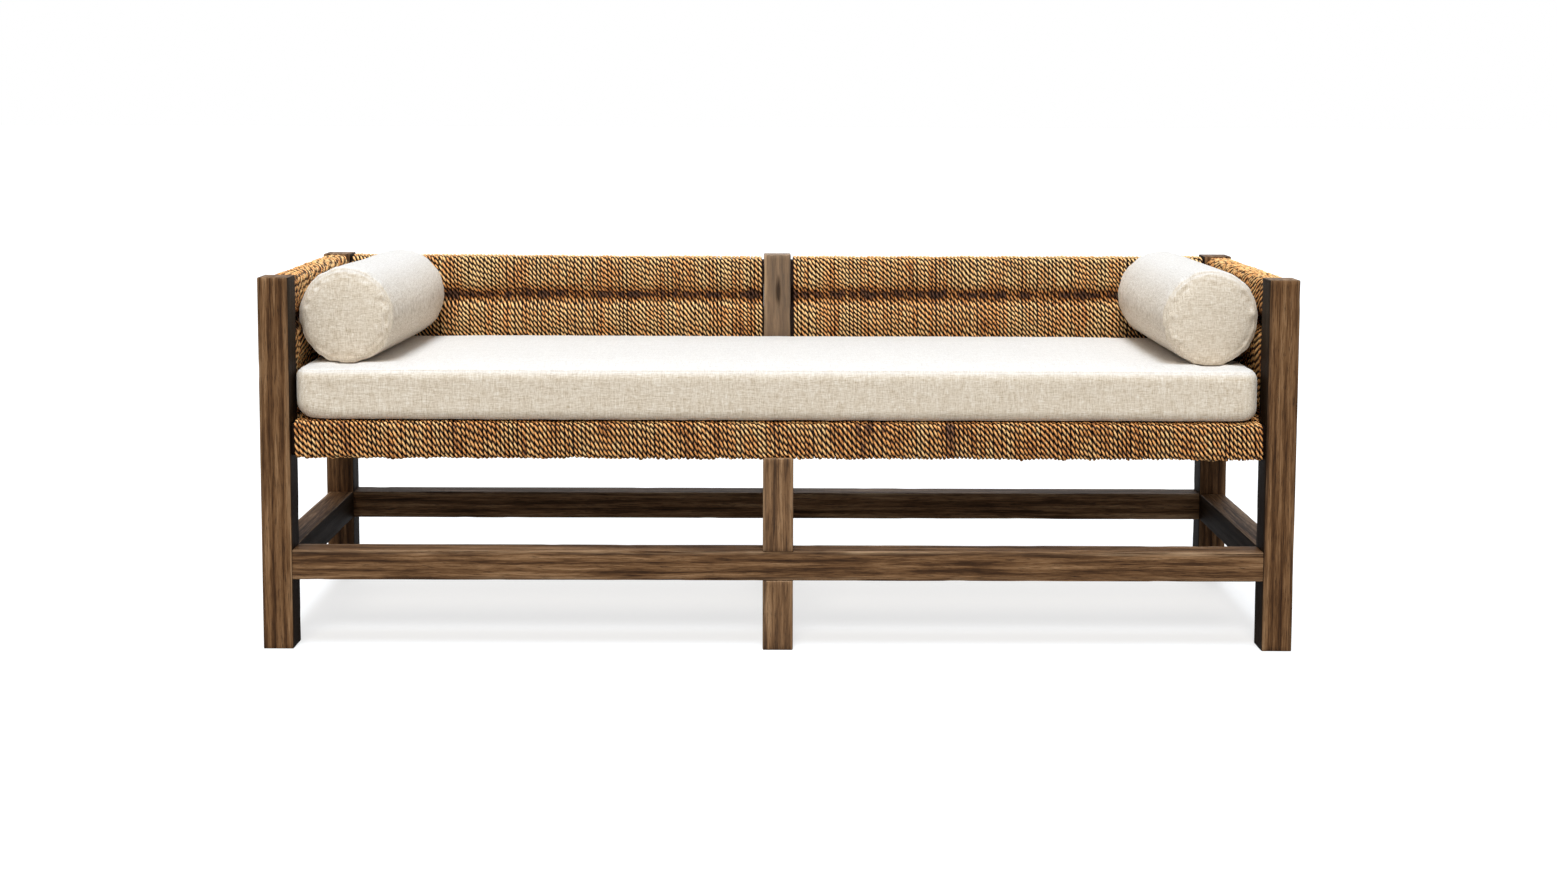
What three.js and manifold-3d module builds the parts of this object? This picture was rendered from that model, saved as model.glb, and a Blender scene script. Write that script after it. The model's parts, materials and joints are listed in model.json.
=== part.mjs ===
// Daybed: a dark hardwood frame wound with twisted rope, with a box seat cushion and two bolsters.
// Millimetres. X runs along the seat, +Y points to the back and +Z up. The origin is on the floor,
// under the middle of the daybed.

import * as THREE from 'three';
import { mergeVertices } from 'three/addons/utils/BufferGeometryUtils.js';
import Module from 'manifold-3d';

const wasm = await Module();
wasm.setup();

// ---------- driving dimensions ----------

const WIDTH = 1930; // over the corner posts
const DEPTH = 584; // over the corner posts
const HEIGHT = 700; // floor to post tops
const POST = 57; // square section of every upright
const ARRIS = 2; // bevel worked along the timber's edges
const GAP = 0.3; // clearance left between pieces that touch

const TENON_LENGTH = 17;
const TENON_THICKNESS = 18;
const TENON_SHOULDER = 9; // how much lower than its rail a tenon is, above and below

const STRETCHER_BOTTOM = 132;
const STRETCHER_HEIGHT = 56;
const STRETCHER_SETBACK = 1.5; // from the posts' outer faces, front and rear
const STRETCHER_DEPTH = 54;
const SIDE_STRETCHER_WIDTH = 52;
const SIDE_STRETCHER_SETBACK = 4;

const ROPE = 8; // rope diameter, so also the thickness of one layer of winding

const SEAT_BOTTOM = 360; // underside of the winding on the seat rails
const SEAT_TOP = 431; // the rope that the cushion lies on
const SEAT_WINDING_DEPTH = 52; // across a wound seat rail
const SEAT_WINDING_SETBACK = 4; // from the posts' outer faces
const SEAT_CORNER = 12; // outer corner radius of that winding
const CROSS_RAIL_WIDTH = 40;
const CROSS_RAIL_BITE = 8; // how far its front tenon enters the front rail, short of the leg's tenon

const BACK_BOTTOM = 440; // underside of the winding on the back and the arms
const BACK_TOP = 694;
const BACK_FRONT_FACE = 232; // Y of the back's inner surface
const BACK_SETBACK = 2; // from the rear posts' rear faces
const ARM_INNER_FACE = 912; // X of an arm's inner surface
const ARM_SETBACK = 1; // from the posts' outer faces
const BACK_CORNER = 14;
const CREASE_Z = 612; // the valley between the upper and the lower roll
const CREASE_DEPTH = 8;
const CREASE_HALF = 16; // half the valley's height

const CUSHION_WIDTH = 1804;
const CUSHION_X = -3; // it lies a little nearer the left posts
const CUSHION_FRONT = -288;
const CUSHION_REAR = 229;
const CUSHION_TOP = 528;
const CUSHION_CORNER = 34; // in plan
const CUSHION_EDGE = 12; // rounding along the top and bottom edges
const CLOTH = 1.5; // thickness of a cushion's cover
const SEAT_ZIP_LENGTH = 1500;
const ZIP_WIDTH = 26;

const BOLSTER_RADIUS = 92;
const BOLSTER_LENGTH = 450;
const BOLSTER_EDGE = 12;
const BOLSTER_REAR = 228; // Y of the ends towards the back
const BOLSTER_ZIP_LENGTH = 340;
const BOLSTERS = [
  { side: 'left', sign: -1, frontX: -819, rearX: -795.5 },
  { side: 'right', sign: 1, frontX: 818.5, rearX: 813 },
];

// ---------- places worked out from them ----------

const INNER_X = WIDTH / 2 - POST; // inner faces of the corner posts
const INNER_Y = DEPTH / 2 - POST;
const LAP_Y = DEPTH / 2 - POST / 2; // middle of an upright, where the halved joints meet
const SIDES = [
  { side: 'left', sign: -1 },
  { side: 'right', sign: 1 },
];

// ---------- materials ----------

function finish(name, colour, roughness) {
  return new THREE.MeshStandardMaterial({ name, color: colour, roughness, metalness: 0 });
}

const WOOD = finish('stained_hardwood', 0x5f4632, 0.62);
const HIDDEN_WOOD = finish('plain_hardwood', 0x9b7b58, 0.7);
const ABACA = finish('abaca_rope', 0xb98f58, 0.85);
const LINEN = finish('linen_cover', 0xd9cfbd, 0.92);
const FOAM = finish('seat_foam', 0xe9e2c8, 0.95);
const FIBRE = finish('bolster_fibre', 0xf2f0ea, 0.95);
const ZIP = finish('zip_tape', 0xcbbfa8, 0.8);

const daybed = new THREE.Group();

function add(name, geometry, material, parent = daybed) {
  const mesh = new THREE.Mesh(geometry, material);
  mesh.name = name;
  parent.add(mesh);
  return mesh;
}

// ---------- joining and cutting ----------

function solid(geometry) {
  const bare = geometry.clone();
  bare.deleteAttribute('normal');
  bare.deleteAttribute('uv');
  const merged = mergeVertices(bare, 1e-4);
  const corners = Array.from(merged.index.array);
  const kept = [];
  for (let i = 0; i < corners.length; i += 3) {
    const [a, b, c] = corners.slice(i, i + 3);
    if (a !== b && b !== c && c !== a) kept.push(a, b, c);
  }
  return new wasm.Manifold(new wasm.Mesh({
    numProp: 3,
    vertProperties: new Float32Array(merged.attributes.position.array),
    triVerts: new Uint32Array(kept),
  }));
}

function geometryOf(body) {
  const mesh = body.getMesh();
  const geometry = new THREE.BufferGeometry();
  geometry.setAttribute('position', new THREE.BufferAttribute(mesh.vertProperties, 3));
  geometry.setIndex(new THREE.BufferAttribute(mesh.triVerts, 1));
  geometry.computeVertexNormals();
  return geometry;
}

// Takes every one of the geometries in tools away from the geometry.
function cut(geometry, tools) {
  return geometryOf(tools.reduce((body, tool) => body.subtract(solid(tool)), solid(geometry)));
}

// ---------- sections and bars ----------

// A box is { x: [from, to], y: [from, to], z: [from, to] }.
function block(box, grow = 0) {
  const size = ['x', 'y', 'z'].map((axis) => box[axis][1] - box[axis][0] + 2 * grow);
  const middle = ['x', 'y', 'z'].map((axis) => (box[axis][0] + box[axis][1]) / 2);
  return new THREE.BoxGeometry(...size).translate(...middle);
}

// A bar's section lies on the two axes that follow its own in the order x, y, z, x, y.
const FOLLOWING = { x: ['y', 'z'], y: ['z', 'x'], z: ['x', 'y'] };
const UNIT = {
  x: new THREE.Vector3(1, 0, 0),
  y: new THREE.Vector3(0, 1, 0),
  z: new THREE.Vector3(0, 0, 1),
};

function extrude(axis, shape, [from, to], options = {}) {
  const rounding = options.bevelThickness ?? 0;
  const geometry = new THREE.ExtrudeGeometry(shape, {
    depth: to - from - 2 * rounding,
    bevelEnabled: rounding > 0,
    ...options,
  });
  const [first, second] = FOLLOWING[axis];
  geometry.translate(0, 0, from + rounding);
  return geometry.applyMatrix4(new THREE.Matrix4().makeBasis(UNIT[first], UNIT[second], UNIT[axis]));
}

function bevelledRectangle([u0, u1], [v0, v1], bevel) {
  return new THREE.Shape([
    new THREE.Vector2(u0 + bevel, v0),
    new THREE.Vector2(u1 - bevel, v0),
    new THREE.Vector2(u1, v0 + bevel),
    new THREE.Vector2(u1, v1 - bevel),
    new THREE.Vector2(u1 - bevel, v1),
    new THREE.Vector2(u0 + bevel, v1),
    new THREE.Vector2(u0, v1 - bevel),
    new THREE.Vector2(u0, v0 + bevel),
  ]);
}

// A sawn timber with its long edges bevelled. Where endBevel is set, its ends are bevelled too.
function timber(axis, box, bevel, endBevel = 0) {
  const [first, second] = FOLLOWING[axis];
  const shape = bevelledRectangle(box[first], box[second], bevel);
  const ends = endBevel > 0
    ? { bevelThickness: endBevel, bevelSize: endBevel, bevelOffset: -endBevel, bevelSegments: 1 }
    : {};
  return extrude(axis, shape, box[axis], ends);
}

function shrink([from, to], by) {
  return [from + by, to - by];
}

function centred(middle, size) {
  return [middle - size / 2, middle + size / 2];
}

// ---------- rails with a tenon at each end ----------

const mortises = []; // one block, larger by the clearance, for every tenon

// box is the rail between its shoulders, and frontTenon is the length of the tenon at its first end.
function tenonedRail(name, axis, box, material, bevel, frontTenon = TENON_LENGTH) {
  const across = axis === 'x' ? 'y' : 'x';
  const middle = (box[across][0] + box[across][1]) / 2;
  const reaches = [
    [box[axis][0] - frontTenon, box[axis][0] + TENON_LENGTH],
    [box[axis][1] - TENON_LENGTH, box[axis][1] + TENON_LENGTH],
  ];
  const tenons = reaches.map((reach) => ({
    [axis]: reach,
    [across]: centred(middle, TENON_THICKNESS),
    z: shrink(box.z, TENON_SHOULDER),
  }));
  const body = { ...box, [axis]: shrink(box[axis], GAP) };
  const blank = solid(timber(axis, body, bevel));
  const rail = tenons.reduce((sum, tenon) => sum.add(solid(block(tenon))), blank);
  mortises.push(...tenons.map((tenon) => block(tenon, GAP)));
  return add(name, geometryOf(rail), material);
}

// ---------- windings ----------

const CORNER_STEPS = 4;
const CREASE_STEPS = 6;

// The outline of a wound section, anticlockwise, in t (across) and z. A creased one dips in on both
// faces at CREASE_Z.
function windingOutline([t0, t1], [z0, z1], radius, creased) {
  const points = [];
  const corner = (t, z, start) => {
    for (let step = 0; step <= CORNER_STEPS; step += 1) {
      const angle = start + (step / CORNER_STEPS) * (Math.PI / 2);
      points.push(new THREE.Vector2(t + radius * Math.cos(angle), z + radius * Math.sin(angle)));
    }
  };
  const crease = (t, inwards, upwards) => {
    for (let step = 0; creased && step <= CREASE_STEPS; step += 1) {
      const along = (step / CREASE_STEPS) * 2 - 1;
      const dip = CREASE_DEPTH * Math.cos((along * Math.PI) / 2) ** 2;
      points.push(new THREE.Vector2(t + inwards * dip, CREASE_Z + upwards * along * CREASE_HALF));
    }
  };
  corner(t1 - radius, z0 + radius, -Math.PI / 2);
  crease(t1, -1, 1);
  corner(t1 - radius, z1 - radius, 0);
  corner(t0 + radius, z1 - radius, Math.PI / 2);
  crease(t0, 1, -1);
  corner(t0 + radius, z0 + radius, Math.PI);
  return points;
}

// One layer of rope round a rail or a pair of rails: a sleeve, open at both ends.
function winding(axis, box, radius, creased = false) {
  const across = axis === 'x' ? 'y' : 'x';
  // Swapping the two coordinates turns the outline over, so its order is reversed as well.
  const swapped = (points) => points.map((point) => new THREE.Vector2(point.y, point.x)).reverse();
  const turned = (points) => (axis === 'x' ? points : swapped(points));
  const outside = windingOutline(box[across], box.z, radius, creased);
  const inside = windingOutline(shrink(box[across], ROPE), shrink(box.z, ROPE), radius - ROPE, creased);
  const shape = new THREE.Shape(turned(outside));
  shape.holes.push(new THREE.Path(turned(inside)));
  return extrude(axis, shape, shrink(box[axis], GAP));
}

// The space that a winding leaves for the rail inside it.
function core(range) {
  return shrink(range, ROPE + GAP);
}

function mirrored([from, to], sign) {
  return sign > 0 ? [from, to] : [-to, -from];
}

// ---------- stretchers ----------

const STRETCHER_Z = [STRETCHER_BOTTOM, STRETCHER_BOTTOM + STRETCHER_HEIGHT];
const ACROSS_STRETCHER_Y = [
  DEPTH / 2 - STRETCHER_SETBACK - STRETCHER_DEPTH,
  DEPTH / 2 - STRETCHER_SETBACK,
];

function addSideStretchers() {
  const outer = WIDTH / 2 - SIDE_STRETCHER_SETBACK;
  for (const { side, sign } of SIDES) {
    const x = mirrored([outer - SIDE_STRETCHER_WIDTH, outer], sign);
    const box = { x, y: [-INNER_Y, INNER_Y], z: STRETCHER_Z };
    tenonedRail(`stretcher_${side}`, 'y', box, WOOD, ARRIS);
  }
}

// The long stretchers are halved over the middle uprights, and keep their outer half whole.
function addLongStretchers() {
  for (const [side, sign] of [['front', -1], ['rear', 1]]) {
    const y = mirrored(ACROSS_STRETCHER_Y, sign);
    const box = { x: [-INNER_X, INNER_X], y, z: STRETCHER_Z };
    const stretcher = tenonedRail(`stretcher_${side}`, 'x', box, WOOD, ARRIS);
    const inner = mirrored([0, LAP_Y], sign);
    const notch = { x: centred(0, POST), y: inner, z: STRETCHER_Z };
    stretcher.geometry = cut(stretcher.geometry, [block(notch, GAP)]);
  }
}

// What a middle upright gives up for the stretcher that crosses it.
function stretcherNotch(sign) {
  const outer = mirrored([LAP_Y, DEPTH / 2], sign);
  return block({ x: centred(0, POST * 2), y: outer, z: STRETCHER_Z }, GAP);
}

// ---------- seat ----------

const SEAT_Z = [SEAT_BOTTOM, SEAT_TOP];
const SEAT_OUTER_Y = DEPTH / 2 - SEAT_WINDING_SETBACK;
const SEAT_Y = [SEAT_OUTER_Y - SEAT_WINDING_DEPTH, SEAT_OUTER_Y];
const SEAT_OUTER_X = WIDTH / 2 - SEAT_WINDING_SETBACK;
const SEAT_X = [SEAT_OUTER_X - SEAT_WINDING_DEPTH, SEAT_OUTER_X];

const LEG_TENON = {
  x: centred(0, POST - 2 * TENON_SHOULDER),
  y: centred(-(SEAT_Y[0] + SEAT_Y[1]) / 2, TENON_THICKNESS),
  z: [SEAT_BOTTOM - TENON_LENGTH, SEAT_BOTTOM + ROPE + TENON_LENGTH],
};

const CROSS_RAIL = {
  x: centred(0, CROSS_RAIL_WIDTH),
  y: [-SEAT_Y[0], INNER_Y],
  z: [SEAT_BOTTOM + ROPE, SEAT_TOP - ROPE - GAP],
};

function addSeatFrame() {
  tenonedRail('seat_cross_rail', 'y', CROSS_RAIL, HIDDEN_WOOD, ARRIS, ROPE + CROSS_RAIL_BITE);
  const sockets = [...mortises.slice(-2), block(LEG_TENON, GAP)];
  const frontRail = { x: [-INNER_X, INNER_X], y: core(mirrored(SEAT_Y, -1)), z: core(SEAT_Z) };
  const front = tenonedRail('seat_rail_front', 'x', frontRail, HIDDEN_WOOD, SEAT_CORNER - ROPE);
  front.geometry = cut(front.geometry, sockets);
  const frontRope = winding('x', { ...frontRail, y: mirrored(SEAT_Y, -1), z: SEAT_Z }, SEAT_CORNER);
  add('seat_rope_front', cut(frontRope, sockets), ABACA);

  for (const { side, sign } of SIDES) {
    const rearX = mirrored([POST / 2, INNER_X], sign);
    const rearRail = { x: rearX, y: core(SEAT_Y), z: core(SEAT_Z) };
    tenonedRail(`seat_rail_rear_${side}`, 'x', rearRail, HIDDEN_WOOD, SEAT_CORNER - ROPE);
    const rearRope = winding('x', { x: rearX, y: SEAT_Y, z: SEAT_Z }, SEAT_CORNER);
    add(`seat_rope_rear_${side}`, rearRope, ABACA);

    const sideX = mirrored(SEAT_X, sign);
    const sideY = [-INNER_Y, INNER_Y];
    const sideRail = { x: core(sideX), y: sideY, z: core(SEAT_Z) };
    tenonedRail(`seat_rail_${side}`, 'y', sideRail, HIDDEN_WOOD, SEAT_CORNER - ROPE);
    add(`seat_rope_${side}`, winding('y', { x: sideX, y: sideY, z: SEAT_Z }, SEAT_CORNER), ABACA);

    // The ropes that cross the seat from the front rail to the rear one, side by side.
    const deck = {
      x: mirrored([GAP, SEAT_X[0] - GAP], sign),
      y: shrink([-INNER_Y, INNER_Y], GAP),
      z: [SEAT_TOP - ROPE, SEAT_TOP],
    };
    add(`seat_deck_${side}`, block(deck), ABACA);
  }
}

// ---------- back and arms ----------

const BACK_Z = [BACK_BOTTOM, BACK_TOP];
const BACK_Y = [BACK_FRONT_FACE, DEPTH / 2 - BACK_SETBACK];
const ARM_X = [ARM_INNER_FACE, WIDTH / 2 - ARM_SETBACK];
const UPPER_RAIL_Z = [CREASE_Z + CREASE_HALF, BACK_TOP - ROPE - GAP];
const LOWER_RAIL_Z = [BACK_BOTTOM + ROPE + GAP, CREASE_Z - CREASE_HALF];

// Two rails, one above the other, and the rope wound round both and drawn in between them.
function addWoundPanel(part, side, axis, box) {
  const across = axis === 'x' ? 'y' : 'x';
  for (const [level, z] of [['top', UPPER_RAIL_Z], ['lower', LOWER_RAIL_Z]]) {
    const rail = { ...box, [across]: core(box[across]), z };
    tenonedRail(`${part}_${level}_rail_${side}`, axis, rail, HIDDEN_WOOD, BACK_CORNER - ROPE);
  }
  add(`${part}_rope_${side}`, winding(axis, { ...box, z: BACK_Z }, BACK_CORNER, true), ABACA);
}

function addBackAndArms() {
  for (const { side, sign } of SIDES) {
    addWoundPanel('back', side, 'x', { x: mirrored([POST / 2, INNER_X], sign), y: BACK_Y });
    addWoundPanel('arm', side, 'y', { x: mirrored(ARM_X, sign), y: [-INNER_Y, INNER_Y] });
  }
}

// ---------- uprights, made last because they take every mortise ----------

function upright(x, y, top) {
  return timber('z', { x: centred(x, POST), y: centred(y, POST), z: [0, top] }, ARRIS, ARRIS);
}

function addUprights() {
  for (const { side, sign } of SIDES) {
    const x = sign * (INNER_X + POST / 2);
    add(`post_front_${side}`, cut(upright(x, -LAP_Y, HEIGHT), mortises), WOOD);
    add(`post_rear_${side}`, cut(upright(x, LAP_Y, HEIGHT), mortises), WOOD);
  }
  const rear = upright(0, LAP_Y, HEIGHT);
  add('post_rear_middle', cut(rear, [...mortises, stretcherNotch(1)]), WOOD);
  const leg = cut(upright(0, -LAP_Y, SEAT_BOTTOM - GAP), [stretcherNotch(-1)]);
  add('leg_front_middle', geometryOf(solid(leg).add(solid(block(LEG_TENON)))), WOOD);
}

// ---------- cushions ----------

// One padded piece: a cloth cover, its filling, and a zip let into the cover's wall.
function addPadded(name, outerShape, zipBox, filling, parent = daybed) {
  const shell = solid(outerShape(0)).subtract(solid(outerShape(CLOTH)));
  const cover = shell.subtract(solid(block(zipBox, GAP)));
  add(`${name}_cover`, geometryOf(cover), LINEN, parent);
  add(`${name}_zip`, geometryOf(shell.intersect(solid(block(zipBox)))), ZIP, parent);
  add(`${name}_${filling.name}`, outerShape(CLOTH + GAP), filling.material, parent);
}

function addSeatCushion() {
  const x = centred(CUSHION_X, CUSHION_WIDTH);
  const y = [CUSHION_FRONT, CUSHION_REAR];
  const z = [SEAT_TOP + GAP, CUSHION_TOP];
  const shape = (inset) => {
    const plan = windingOutline(shrink(x, inset), shrink(y, inset), CUSHION_CORNER - inset, false);
    const edge = CUSHION_EDGE - inset;
    return extrude('z', new THREE.Shape(plan), shrink(z, inset), {
      bevelThickness: edge, bevelSize: edge, bevelOffset: -edge, bevelSegments: 3,
    });
  };
  const zip = {
    x: centred(CUSHION_X, SEAT_ZIP_LENGTH),
    y: [CUSHION_REAR - 2 * CLOTH, CUSHION_REAR + CLOTH],
    z: centred((z[0] + z[1]) / 2, ZIP_WIDTH),
  };
  addPadded('seat_cushion', shape, zip, { name: 'foam', material: FOAM });
}

const BOLSTER_SEGMENTS = 32;
const EDGE_STEPS = 3;

// A cylinder along Y with rounded ends, about the origin.
function bolsterShape(inset) {
  const radius = BOLSTER_RADIUS - inset;
  const half = BOLSTER_LENGTH / 2 - inset;
  const edge = BOLSTER_EDGE - inset;
  const front = [];
  for (let step = 0; step <= EDGE_STEPS; step += 1) {
    const angle = (step / EDGE_STEPS) * (Math.PI / 2);
    const out = radius - edge + edge * Math.sin(angle);
    front.push(new THREE.Vector2(out, -half + edge - edge * Math.cos(angle)));
  }
  const rear = front.map((point) => new THREE.Vector2(point.x, -point.y)).reverse();
  const profile = [new THREE.Vector2(0, -half), ...front, ...rear, new THREE.Vector2(0, half)];
  return new THREE.LatheGeometry(profile, BOLSTER_SEGMENTS);
}

function addBolsters() {
  for (const { side, sign, frontX, rearX } of BOLSTERS) {
    const place = new THREE.Group();
    place.position.set(
      (frontX + rearX) / 2,
      BOLSTER_REAR - BOLSTER_LENGTH / 2,
      CUSHION_TOP + GAP + BOLSTER_RADIUS,
    );
    place.rotation.z = -Math.atan2(rearX - frontX, BOLSTER_LENGTH);
    daybed.add(place);
    // The zip runs along the side that faces the arm.
    const zip = {
      x: mirrored([BOLSTER_RADIUS - 4 * CLOTH, BOLSTER_RADIUS + CLOTH], sign),
      y: centred(0, BOLSTER_ZIP_LENGTH),
      z: centred(0, ZIP_WIDTH),
    };
    const filling = { name: 'insert', material: FIBRE };
    addPadded(`bolster_${side}`, bolsterShape, zip, filling, place);
  }
}

addSideStretchers();
addLongStretchers();
addSeatFrame();
addBackAndArms();
addUprights();
addSeatCushion();
addBolsters();

export default daybed;
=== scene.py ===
"""A daybed in worn dark hardwood, wound with twisted abaca rope, with a linen seat cushion and two
linen bolsters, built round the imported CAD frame. Metres; the seat faces -Y and +Z is up."""

import json
import math

import bpy
import numpy as np
from mathutils import Matrix, Vector
from mathutils.bvhtree import BVHTree


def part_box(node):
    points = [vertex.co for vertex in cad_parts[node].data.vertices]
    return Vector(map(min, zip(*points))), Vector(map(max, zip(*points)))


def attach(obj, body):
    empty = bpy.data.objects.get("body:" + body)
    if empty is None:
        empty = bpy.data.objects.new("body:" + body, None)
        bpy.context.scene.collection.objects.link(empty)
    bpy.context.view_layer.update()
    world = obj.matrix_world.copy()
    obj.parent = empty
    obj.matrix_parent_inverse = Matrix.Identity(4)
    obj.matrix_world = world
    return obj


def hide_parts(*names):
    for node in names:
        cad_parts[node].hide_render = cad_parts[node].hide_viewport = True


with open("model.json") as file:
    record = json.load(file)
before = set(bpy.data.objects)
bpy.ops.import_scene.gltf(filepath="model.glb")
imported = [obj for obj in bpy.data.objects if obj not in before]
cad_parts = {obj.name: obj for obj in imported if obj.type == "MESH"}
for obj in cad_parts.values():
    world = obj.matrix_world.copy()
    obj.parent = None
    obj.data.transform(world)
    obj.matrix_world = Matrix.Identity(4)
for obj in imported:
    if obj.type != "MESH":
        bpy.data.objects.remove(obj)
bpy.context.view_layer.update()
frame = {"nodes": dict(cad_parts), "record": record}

# ---------- driving sizes ----------

CAMERA_PLACE = (-0.0226, -3.7727, 1.0342)
CAMERA_PITCH = 4.643  # degrees below level
CAMERA_YAW = -0.044
CAMERA_ROLL = 0.171
CAMERA_LENS = 43.76
CAMERA_SHIFT = (0.0066, -0.12)

# Timber
EDGE_RADIUS = 0.0018  # hand-softened edges
EDGE_STEPS = 3
EDGE_WEAR = 0.0007  # how much more the worst-worn stretches have lost
FACE_WAVE = 0.00025  # unevenness left on the faces
TIMBER_STEP = 0.007  # spacing of the points along and across a bar
TENON_SHOWN = 0.004  # what is left of a tenon, inside its post
POST_LIGHT = (0.83, 0.77, 0.69)  # the corner posts are darker and redder than the rest
STRETCHER_LIGHT = (1.01, 0.99, 0.96)
UPRIGHT_LIGHT = (1.08, 1.05, 1.00)
MIDDLE_POST_GREY = 0.55  # how far the rear middle post has greyed
MIDDLE_LEG_GREY = 0.1
MIDDLE_POST_KNOT = ((0.002, 0.2335, 0.622), (0.0065, 0.02, 0.034))  # its middle, half its size

# Rope
ROPE_RADIUS = 0.0043
ROPE_PITCH = 0.008  # between neighbouring turns
ROPE_LAY = 0.0240  # length in which the two strands go once round each other
ROPE_STEP = 0.0027  # between neighbouring rings of points
STRAND_OFFSET = 0.45  # a strand's centre from the rope's, as a share of the rope's radius
STRAND_RADIUS = 0.55
ROPE_SIDES = 8  # points in a ring
ROPE_SHADE = {"x": 0.80, "y": 0.66, "seat": 0.56}  # paleness: the back, the arms and the seat. The differences between windings are painted light, for how much light falls on each
SIDE_PAINTED_LIGHT = 0.60  # how much of a strand's painted light is left where it turns in to its neighbour; painted shade takes the rest
CREASE_Z = 0.612  # the valley between the two rolls of the back and the arms
CREASE_DEPTH = 0.016
CREASE_HALF = 0.029  # half its height
CREASE_SHADE = 0.72  # how much paleness the valley takes from the rope: painted shade in the crease
CREASE_SHADE_HALF = 0.015
ROLL_BULGE = 0.0045
ROLL_MIDDLES = (0.565, 0.653)  # the lower roll shows only above the cushion
ROLL_HALF = 0.043  # half a roll's height
TOP_LIFT = 0.0015  # how far the back's top stands above its rail's winding
TOP_SAG = 0.003  # and how much more it does at the corner posts
SEAT_CORNER = 0.012  # radius of a winding's corners
BACK_CORNER = 0.015
CORNER_STEPS = 14
OUTLINE_POINTS = 1200  # in the line that a turn follows
LOOSE_TURN = 0.0024  # how far the loosest turns hang below a rail
SLEEVE_DEPTH = (0.0055, 0.0075)  # where the inner layer of rope lies, below the outermost surface
DECK_BACKING_DEPTH = 0.006  # the same, for the seat's deck

# Cushions
CUSHION_CORNER = 0.034  # radius in plan
CUSHION_EDGE = 0.016  # radius along the top seam
CUSHION_FOOT = {"middle": 0.018, "left": 0.034, "right": 0.023}  # radius along the bottom seam
CUSHION_CROWN = 0.005
CUSHION_SHRINK = 0.0015  # how much smaller the cover is before it is filled
BOLSTER_TILT = {"left": (-0.819, -0.7955), "right": (0.8185, 0.813)}  # X at the front and rear ends
BOLSTER_LENGTH = 0.450
BOLSTER_EDGE = 0.010  # radius of the bend between a disc and the body
BOLSTER_SIDES = 120
BOLSTER_REAR = 0.2262  # its rear end leans on the back
BOLSTER_REST = 0.5295  # the flat that a bolster settles onto, just clear of the cushion
CUSHION_UNDER_BOLSTER = 0.5288
NEAR_SEAM = (0.0, 0.0025, 0.005, 0.008, 0.012, 0.017, 0.023, 0.030)  # grid lines by a seam
CLOTH_FRAMES = 18  # how long a cover is left to fill

# Zips
ZIP_WIDTH = 0.016
ZIP_TOOTH = 0.0022  # from one tooth to the next
ZIP_RIB = 0.0006  # how much lower it is between two teeth
ZIP_START = 0.05  # how far outside the cover it is before it is pressed on
# Across the tape: where each line of points lies, as a share of the width, and its height
ZIP_SECTION = (
    (-0.50, -0.0005), (-0.46, 0.0004), (-0.16, 0.0005), (-0.12, 0.0013), (0.12, 0.0013),
    (0.16, 0.0005), (0.46, 0.0004), (0.50, -0.0005), (0.20, -0.0012), (-0.20, -0.0012),
)

# Light
FILL_LIGHT = 0.30  # the studio's even light, beside the three lamps
FLOOR_HALF = 60.0
FLOOR_GLOW = 0.70  # keeps the floor pale to the eye, though it throws little light back up

# ---------- small helpers ----------


def noise(points, scale, seed):
    """Smooth noise from -1 to 1 at each row of points. scale is cells a metre, for all axes or each."""
    cells = np.asarray(points, float) * scale
    low = np.floor(cells).astype(np.int64)
    part = cells - low
    part = part * part * (3 - 2 * part)
    total = np.zeros(len(cells))
    for corner in np.ndindex(2, 2, 2):
        i, j, k = (low + corner).T
        mixed = (i * 73856093) ^ (j * 19349663) ^ (k * 83492791) ^ (seed * 2654435761)
        mixed = (mixed ^ (mixed >> 13)) * 1274126177 & 0xFFFFFFFF
        mixed = (mixed ^ (mixed >> 15)) * 2246822519 & 0xFFFFFFFF
        value = ((mixed ^ (mixed >> 16)) & 0xFFFF) / 32767.5 - 1
        weight = np.prod(np.where(corner, part, 1 - part), axis=1)
        total += value * weight
    return total


def smooth(value):
    """0 to 1 with soft ends."""
    value = np.clip(value, 0, 1)
    return value * value * (3 - 2 * value)


def make_mesh(name, points, faces, values=None):
    """A smooth-shaded mesh object. faces is a list of integer arrays, one row a face, and values
    holds the numbers that materials read at each point, by name."""
    mesh = bpy.data.meshes.new(name)
    sizes = np.concatenate([np.full(len(rows), rows.shape[1]) for rows in faces])
    corners = np.concatenate([rows.ravel() for rows in faces]).astype(np.int32)
    mesh.vertices.add(len(points))
    mesh.vertices.foreach_set("co", np.asarray(points, np.float32).ravel())
    mesh.loops.add(len(corners))
    mesh.loops.foreach_set("vertex_index", corners)
    mesh.polygons.add(len(sizes))
    starts = np.concatenate([[0], np.cumsum(sizes)[:-1]])
    mesh.polygons.foreach_set("loop_start", starts.astype(np.int32))
    mesh.polygons.foreach_set("use_smooth", np.ones(len(sizes), bool))
    mesh.update(calc_edges=True)
    for key, value in (values or {}).items():
        layer = mesh.attributes.new(key, "FLOAT", "POINT")
        layer.data.foreach_set("value", np.asarray(value, np.float32))
    piece = bpy.data.objects.new(name, mesh)
    bpy.context.scene.collection.objects.link(piece)
    return piece


def stand_for(piece, body, slot, material, *nodes):
    """Rides a piece on its body, gives it its finish, and hides the CAD nodes it stands for."""
    piece.data.materials.append(material)
    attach(piece, body)
    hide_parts(*nodes)
    return piece


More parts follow.
